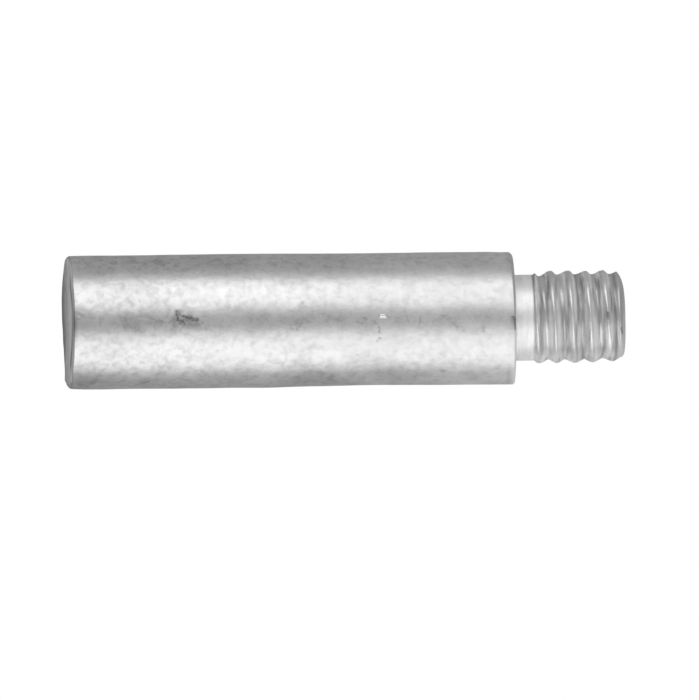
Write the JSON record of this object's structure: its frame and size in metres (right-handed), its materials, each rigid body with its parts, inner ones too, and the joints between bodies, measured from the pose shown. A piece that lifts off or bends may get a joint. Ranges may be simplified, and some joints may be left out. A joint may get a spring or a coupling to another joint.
{
  "type": "sacrificial anode",
  "caption": "Pencil-type sacrificial anode: a round cast zinc rod with a shoulder and a short coarse-threaded stub that screws into a cooling-water plug.",
  "frame": {"origin": "centre of the rod's flat end, which the part stands on", "axes": "+Z along the rod's axis from the flat end towards the threaded stub; the rod is round, so X and Y are any two directions across it"},
  "size_m": [0.0096, 0.0096, 0.0397],
  "materials": {
    "cast_zinc": "satin"
  },
  "bodies": {
    "root": {"anode": "cast_zinc"}
  },
  "joints": []
}
